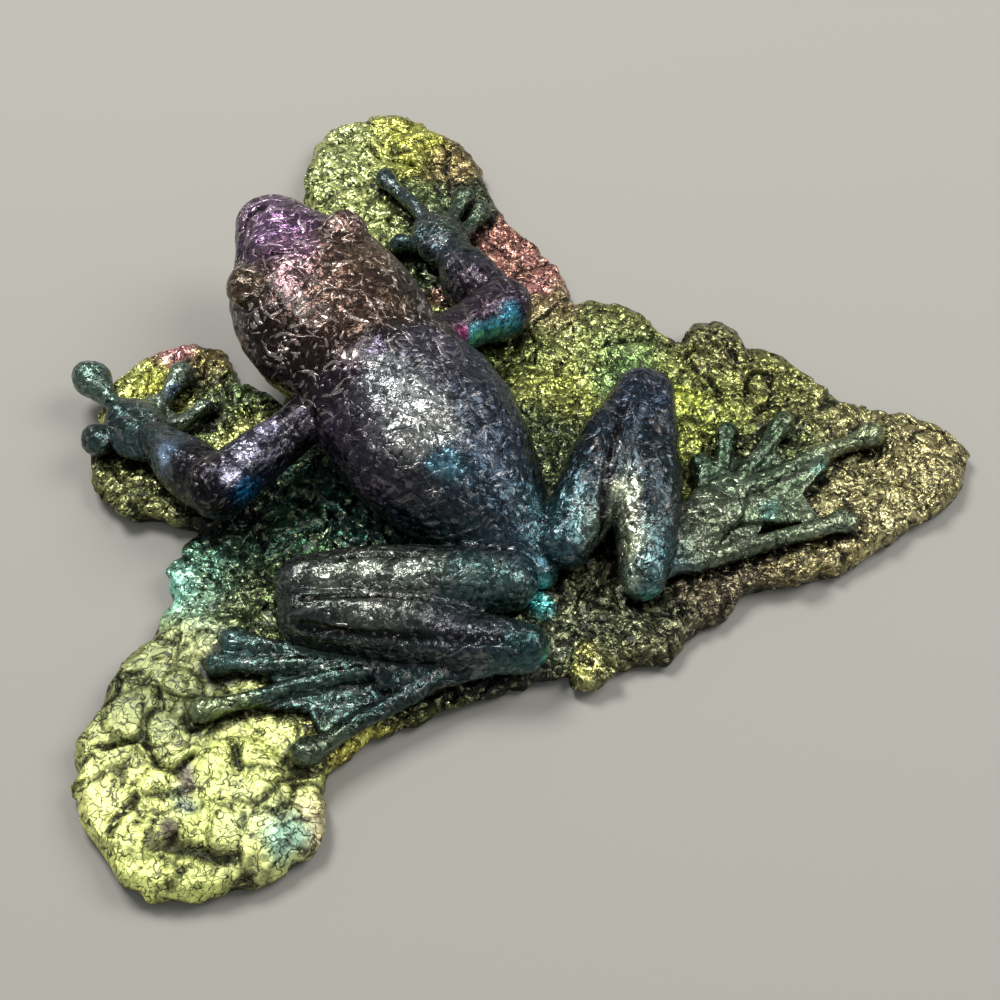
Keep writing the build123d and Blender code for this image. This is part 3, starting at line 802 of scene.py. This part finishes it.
def combine(tree, operation, first, second):
    """Two values worked together."""
    return shader_node(tree, "ShaderNodeMath", {0: first, 1: second}, operation=operation).outputs["Value"]


def combine_vectors(tree, operation, first, second):
    """Two vectors worked together, or one scaled by a value."""
    inputs = {0: first, ("Scale" if operation == "SCALE" else 1): second}
    made = shader_node(tree, "ShaderNodeVectorMath", inputs, operation=operation)
    return made.outputs["Value" if operation == "DOT_PRODUCT" else "Vector"]


def mixed_colour(tree, share, first, second):
    """One colour run into another."""
    mix = shader_node(tree, "ShaderNodeMix", {0: share, 6: first, 7: second}, data_type="RGBA")
    return mix.outputs[2]


def worm_lines(tree, place, size, width, shade):
    """A shade on thin lines that wander like worms, and 1 between them."""
    noise = noise_value(tree, place, size, 1.0)
    beside = combine(tree, "ABSOLUTE", combine(tree, "SUBTRACT", noise, 0.5), 0.0)
    return ramp(tree, beside, width * worm_core, width, shade, 1.0)


def swirled(tree, place, size, amount):
    """Places pushed about by noise, so that what is laid on them bends."""
    noise = noise_value(tree, place, size, 1.0, "Color")
    centred = combine_vectors(tree, "SUBTRACT", noise, (0.5, 0.5, 0.5))
    return combine_vectors(tree, "ADD", place, combine_vectors(tree, "SCALE", centred, amount * MM))


def crystal_needles(tree, place, length, width, turns, sparsity):
    """Needles of crystal that lie across each other, from 0 between them to 1 on them."""
    brightest = None
    for turn in turns:
        inputs = {"Vector": place, "Rotation": (needle_tilt[0] * sin(turn * 3), needle_tilt[1], turn),
                  "Scale": (length * MM, width * MM, width * MM)}
        lying = shader_node(tree, "ShaderNodeMapping", inputs, vector_type="TEXTURE").outputs["Vector"]
        inputs = {"Vector": lying, "Scale": 1.0, "Detail": 0.5}
        noise = shader_node(tree, "ShaderNodeTexNoise", inputs).outputs["Fac"]
        needle = ramp(tree, noise, sparsity, sparsity + needle_edge, 0.0, 1.0)
        brightest = needle if brightest is None else combine(tree, "MAXIMUM", brightest, needle)
    return brightest


def facet_height(tree, place, size, slope):
    """Height of small flat facets, each leaning its own way."""
    cells = shader_node(tree, "ShaderNodeTexVoronoi", {"Vector": place, "Scale": 1 / (size * MM)})
    lean = combine_vectors(tree, "SUBTRACT", cells.outputs["Color"], (0.5, 0.5, 0.5))
    within = combine_vectors(tree, "SUBTRACT", place, cells.outputs["Position"])
    return combine(tree, "MULTIPLY", combine_vectors(tree, "DOT_PRODUCT", lean, within), slope)


def cast_metal(name, look):
    """Crystalline metal under a heat tint that holds some painted highlights and shadows, with dark grain,
    dark lines, painted shade in creases, and needles that are raised in the bump and painted bright as
    glints.
    """
    material = bpy.data.materials.new(name)
    material.use_nodes = True
    tree = material.node_tree
    tree.nodes.clear()
    place = shader_node(tree, "ShaderNodeTexCoord").outputs["Object"]
    tint = painted(tree, "tint", "Color")
    painted_shade, needled, rugged = (painted(tree, key) for key in ("painted_shade", "needles", "rugged"))

    bent = swirled(tree, place, *wide_bend)
    fine = swirled(tree, place, *fine_bend)
    grain = noise_value(tree, fine, look["grain"], 2.0)
    worms = worm_lines(tree, fine, look["worm"], look["worm_width"], look["worm_shade"])
    folds = worm_lines(tree, bent, look["fold"], look["fold_width"], look["fold_shade"])
    lines = combine(tree, "MULTIPLY", worms, folds)
    needles = crystal_needles(tree, bent, look["length"], look["width"], look["turns"], look["sparsity"])
    needles = combine(tree, "MULTIPLY", needles, needled)

    shade = ramp(tree, grain, *grain_range, look["dark"], look["bright"])
    shade = combine(tree, "MULTIPLY", shade, lines)
    # Painted shade carried by the skin darkens the colour.
    shade = combine(tree, "MULTIPLY", shade, ramp(tree, painted_shade, 0.0, 1.0, 1.0, deepest_painted_shade))
    # Needles painted bright as glints: the tint brightened, plus a glint colour.
    painted_glint_colour = combine_vectors(tree, "ADD", combine_vectors(tree, "SCALE", tint, needle_glint_gain), look["painted_glint"])
    colour = mixed_colour(tree, needles, combine_vectors(tree, "SCALE", tint, shade), painted_glint_colour)

    height = combine(tree, "MULTIPLY", grain, look["relief"] * MM)
    for value, rise in ((lines, look["groove"]), (needles, look["lift"])):
        height = combine(tree, "ADD", height, combine(tree, "MULTIPLY", value, rise * MM))
    height = combine(tree, "ADD", height, facet_height(tree, bent, look["facet"], look["slope"]))
    relief = shader_node(tree, "ShaderNodeBump", {"Strength": rugged, "Distance": 1.0, "Height": height})

    dull = ramp(tree, grain, *dull_range, 0.0, dull_grain)
    dull = combine(tree, "ADD", dull, ramp(tree, rugged, 0.5, 1.0, dull_calm, 0.0))
    inputs = {"Base Color": colour, "Metallic": look["metallic"], "Coat Weight": coat_weight,
              "Coat Roughness": coat_roughness, "Roughness": combine(tree, "ADD", dull, look["shine"]),
              "Normal": relief.outputs["Normal"]}
    metal = shader_node(tree, "ShaderNodeBsdfPrincipled", inputs)
    shader_node(tree, "ShaderNodeOutputMaterial", {"Surface": metal.outputs["BSDF"]})
    return material


# Looks. "length" and "width" are those of the needles, "turns" their directions; the glint colour is a
# painted highlight added on the needles. Sizes are in millimetres.
FROG_LOOK = {
    "grain": 0.9, "dark": 0.46, "bright": 1.3, "relief": 0.17,
    "worm": 2.2, "worm_width": 0.014, "worm_shade": 0.5,
    "fold": 6.0, "fold_width": 0.012, "fold_shade": 0.3, "groove": 0.06,
    "length": 6.0, "width": 0.95, "turns": [0.2, 0.9, 1.5, 2.2, 2.8], "sparsity": 0.665, "lift": 0.16,
    "painted_glint": (0.3, 0.26, 0.23), "facet": 0.85, "slope": 0.38, "metallic": 0.9, "shine": 0.17,
}
PAD_LOOK = {
    "grain": 1.6, "dark": 0.62, "bright": 1.6, "relief": 0.45,
    "worm": 2.0, "worm_width": 0.03, "worm_shade": 0.15,
    "fold": 1.3, "fold_width": 0.028, "fold_shade": 0.3, "groove": 0.1,
    "length": 1.7, "width": 1.0, "turns": [0.5, 1.6, 2.6], "sparsity": 0.65, "lift": 0.1,
    "painted_glint": (0.26, 0.26, 0.14), "facet": 1.3, "slope": 0.55, "metallic": 0.85, "shine": 0.2,
}


# Frog

def limb_line(node):
    """The two ends of the line through the middle of a limb."""
    corners = gathered((node,))[0]
    centre = corners.mean(axis=0)
    axis = np.linalg.svd(corners - centre, full_matrices=False)[2][0]
    reach = limb_share * np.abs((corners - centre) @ axis).max()
    return centre - axis * reach, centre + axis * reach


def streaks(points, size, seed):
    """Noise that is drawn out along the limb that it lies on, and even elsewhere."""
    total = even_streaks * rough(points, size, 2, seed)
    weight = np.full(len(points), even_weight)
    for number, limb in enumerate(STREAKED):
        start, end = limb_line(limb)
        axis = (end - start) / np.linalg.norm(end - start)
        along = np.clip((points - start) @ axis, 0, np.linalg.norm(end - start))
        near = np.exp(-(np.linalg.norm(points - start - along[:, None] * axis, axis=1) / limb_reach) ** 4)
        here = near > 0.01
        drawn = points[here] - (points[here] @ axis * (1 - 1 / streak_stretch))[:, None] * axis
        total[here] += near[here] * rough(drawn, size, 2, seed + number)
        weight[here] += near[here]
    return total / weight


def far_end(node, origin):
    """The end of a digit that is farthest from a place."""
    corners = gathered((node,))[0]
    distance = np.linalg.norm((corners - origin)[:, :2], axis=1)
    return corners[distance > distance.max() - digit_end].mean(axis=0)


def with_webs(corners, faces):
    """The frog's masses and the skin that is stretched between its digits."""
    corners = [corners]
    faces = list(faces)
    for foot, (web_share, digits) in WEBS.items():
        ankle = gathered((foot,))[0].mean(axis=0)
        tips = [far_end(digit, ankle) for digit in digits]
        for one, other in zip(tips, tips[1:]):
            edge = [ankle + (tip - ankle) * web_share for tip in (one, other)]
            outline = np.array([ankle, edge[0], ankle + (sum(edge) / 2 - ankle) * web_hang, edge[1]])
            start = sum(len(group) for group in corners)
            corners.append(np.vstack([outline + [0, 0, web_top], outline - [0, 0, web_depth]]))
            faces += [(start, start + 1, start + 2, start + 3), (start + 7, start + 6, start + 5, start + 4)]
            faces += [(start + (turn + 1) % 4, start + turn, start + 4 + turn, start + 4 + (turn + 1) % 4)
                      for turn in range(4)]
    return np.vstack(corners), faces


def frog_push(points, normals):
    """Lumps, hammered dents and fine layers that the metal froze in."""
    depth = points[:, 2] + layer_bend * rough(points, layer_bend_size, 2, SEEDS["layers"])
    patches = eased(rough(points, layer_patch_size, 2, SEEDS["layer_patches"]), *layer_patch_edge)
    layers = np.sin(2 * pi * depth / layer_thickness) * patches * steepness(normals)
    drawn = streaks(points, dent_size, SEEDS["dents"])
    dents = dent_height * drawn - dent_depth * np.abs(drawn) * (1 - eased(np.abs(drawn), 0.0, dent_edge))
    folds = fold_depth * crack_depth(points, FROG_FOLDS)
    return pushed(points, FROG_BUMPS) + dents + layer_height * layers - folds


def needle_strength(points):
    """Long needles, painted bright as glints, on the head and nape, fewer towards the rump and the limbs."""
    off_axis = eased(np.abs(points[:, 0]), *needled_sides)
    on_head = eased(points[:, 1], *needled_front) * (1 - off_axis) * eased(points[:, 2], *needled_heights)
    return least_needles + (1 - least_needles) * on_head


def eye_rings(points):
    """Painted shade in the fold round each eye, from 0 to 1."""
    fold = np.zeros(len(points))
    for eye in ("left_eye", "right_eye"):
        corners = gathered((eye,))[0]
        centre = corners.mean(axis=0)
        radius = np.linalg.norm(corners - centre, axis=1).max()
        away = np.linalg.norm(points - centre, axis=1) - radius
        fold = np.maximum(fold, np.exp(-(away / ring_width) ** 2))
    return fold


def make_frog(pad_corners):
    """The frog as one skin, parted into its head, trunk, arms and legs."""
    everything = [node for nodes in PIECES.values() for node in nodes]
    corners, quads = poured(*with_webs(*gathered(everything)), frog_voxel, frog_smoothing)
    normals = normals_of(corners, quads)
    corners = corners + normals * (frog_push(corners, normals) + frog_swell)[:, None]
    bent = corners + frog_bend * wandering(corners, frog_bend_size, 2, SEEDS["frog_bend"])
    corners = kept_inside(bent, frog_margin)
    normals = normals_of(corners, quads)
    # Painted shade: hollows, places near the pad that do not face up, the rings round the eyes and the folds
    # darken the colour, except at the bright drop.
    sunk = hollow_dark * eased(hollowness(corners, quads, normals), *frog_hollow)
    touching = 1 - eased(spread_distance(corners, pad_corners[::contact_step]), *frog_contact)
    touching = contact_dark * touching * (1 - eased(normals[:, 2], *upward))
    painted_shade = np.maximum.reduce([sunk, touching, ring_dark * eye_rings(corners),
                                fold_dark * crack_depth(corners, FROG_FOLDS)])
    painted_shade *= 1 - vent_clearing * near_vent(corners)
    cast = {"corners": corners, "quads": quads, "normals": normals, "painted_shade": painted_shade,
            "rugged": np.ones(len(corners)), "needles": needle_strength(corners),
            "tint": tinted(corners, FROG_TINTS, FROG_SPOTS, frog_tint_bend)}
    metal = cast_metal("frog_metal", FROG_LOOK)
    owner = face_owners(corners, quads, PIECES.values())
    for number, (name, nodes) in enumerate(PIECES.items()):
        finished(name, cast, owner == number, metal, nodes)
    return corners


# Pad

def plates(flat):
    """Height of thin plates of metal on the pad, and the gaps between them."""
    bent = flat + plate_bend * wandering(flat, plate_bend_size, 3, SEEDS["plate_bend"])
    first, second, number = grains(bent, plate_size, SEEDS["plates"])
    return plate_height * (number - 0.5), 1 - eased((second - first) * plate_size, *gap_width)


def calmness(points):
    """How smooth and dull the pad is at each point, from 0 to 1 on the left rear lobe."""
    return eased(-points[:, 0], *calm_band)


def near_vent(points):
    """How near each point is to the bright drop behind the rump, from 0 to 1."""
    return nearness(points, VENT, vent_reach, 4)


def pad_height(points):
    """Height of swells, plates and crumpled crystal on the pad, and the gaps between the plates."""
    flat = points * LEVEL
    calm = calmness(points)
    plate, gap = plates(flat)
    crumpled = crumple_height * rough(flat, crumple_size, 2, SEEDS["crumple"])
    crumpled -= sum(depth * grooves(flat, size, width, seed) for depth, size, width, seed in PAD_GROOVES)
    swell = (swell_height - calmed_swell * calm) * rough(flat, swell_size, 2, SEEDS["swells"])
    height = (1 - calmed_plates * calm) * plate + swell + (1 - calmed_crumple * calm) * crumpled
    return height - (gap_depth - calmed_gaps * calm) * gap, gap


def make_pad(frog_corners, corners, quads):
    """The pad as one skin, parted into its tongues."""
    normals = normals_of(corners, quads)
    height, gap = pad_height(corners)
    top = eased(corners[:, 2], *side_heights)
    crack = crack_depth(corners, PAD_CRACKS) * top
    corners = corners + LEVEL * pad_bend * wandering(corners * LEVEL, pad_bend_size, 2, SEEDS["pad_bend"])
    knobs = knob_height * (1 - 2 * np.abs(wavy(corners, knob_size, SEEDS["knobs"])))
    knobs += fine_knob_height * rough(corners, fine_knob_size, 2, SEEDS["fine_knobs"])
    corners = corners + normals * LEVEL * (knobs * steepness(normals))[:, None]
    corners[:, 2] += (height - crack_drop * crack) * top + vent_height * near_vent(corners)
    corners = kept_inside(corners, pad_margin)
    normals = normals_of(corners, quads)
    calm = calmness(corners)
    # Painted shade: places near the frog, hollows, cracks and gaps between plates darken the colour, the pad
    # grows darker towards the bottom of its sides, and none is left at the bright drop.
    near_frog = frog_corners[frog_corners[:, 2] < low_frog][::contact_step]
    touching = contact_dark * (1 - eased(spread_distance(corners, near_frog), *pad_contact))
    sunk = hollow_dark * eased(hollowness(corners, quads, normals), *pad_hollow) * (1 - calmed_hollows * calm)
    rim = rim_dark * (1 - eased(corners[:, 2], *rim_heights))
    painted_shade = np.maximum.reduce([sunk, crack, gap_dark * gap * top, touching, rim])
    painted_shade *= 1 - near_vent(corners)
    cast = {"corners": corners, "quads": quads, "normals": normals, "painted_shade": painted_shade,
            "rugged": 1 - calmed_relief * calm, "needles": pad_needles - calmed_needles * calm,
            "tint": tinted(corners, PAD_TINTS, PAD_SPOTS, pad_tint_bend)}
    metal = cast_metal("pad_metal", PAD_LOOK)
    owner = face_owners(corners, quads, [(node,) for node in PAD_NODES])
    for number, node in enumerate(PAD_NODES):
        finished(f"{node}_spill", cast, owner == number, metal, (node,))


# Surroundings

def make_floor():
    """A plain pale table top."""
    mesh = bpy.data.meshes.new("table_top")
    corners = [(x * floor_reach, y * floor_reach, 0) for x, y in ((-1, -1), (1, -1), (1, 1), (-1, 1))]
    mesh.from_pydata(corners, [], [(0, 1, 2, 3)])
    floor = bpy.data.objects.new("table_top", mesh)
    bpy.context.collection.objects.link(floor)
    paint = bpy.data.materials.new("table_paint")
    paint.use_nodes = True
    matt = paint.node_tree.nodes["Principled BSDF"]
    matt.inputs["Base Color"].default_value = (*to_linear(floor_colour), 1)
    matt.inputs["Roughness"].default_value = floor_roughness
    mesh.materials.append(paint)


def make_lamp(name, place, size, power):
    """A soft square lamp that points at the frog."""
    lamp = bpy.data.lights.new(name, "AREA")
    lamp.size = size
    lamp.energy = power
    thing = bpy.data.objects.new(name, lamp)
    thing.location = place
    thing.rotation_euler = (view_target - Vector(place)).to_track_quat("-Z", "Y").to_euler()
    bpy.context.collection.objects.link(thing)


def make_light():
    """Soft window light from the upper left of the photograph, over a dim room."""
    world = bpy.data.worlds.new("room")
    world.use_nodes = True
    world.node_tree.nodes["Background"].inputs["Color"].default_value = (*room_colour, 1)
    bpy.context.scene.world = world
    for name, (place, size, power) in LAMPS.items():
        make_lamp(name, place, size, power)


def make_camera():
    """The photograph's viewpoint."""
    camera = bpy.data.cameras.new("camera")
    camera.sensor_width = sensor_width
    camera.lens = sensor_width / 2 / tan(view_half_angle)
    thing = bpy.data.objects.new("camera", camera)
    back = Vector((sin(view_azimuth) * cos(view_elevation), -cos(view_azimuth) * cos(view_elevation),
                   sin(view_elevation)))
    thing.location = view_target + back * view_distance
    thing.rotation_euler = (-back).to_track_quat("-Z", "Y").to_euler()
    bpy.context.collection.objects.link(thing)
    bpy.context.scene.camera = thing


bpy.context.scene.view_settings.view_transform = "Standard"
make_camera()
make_light()
make_floor()
pad_skin = poured(*gathered(PAD_NODES), pad_voxel, pad_smoothing)
make_pad(make_frog(pad_skin[0]), *pad_skin)
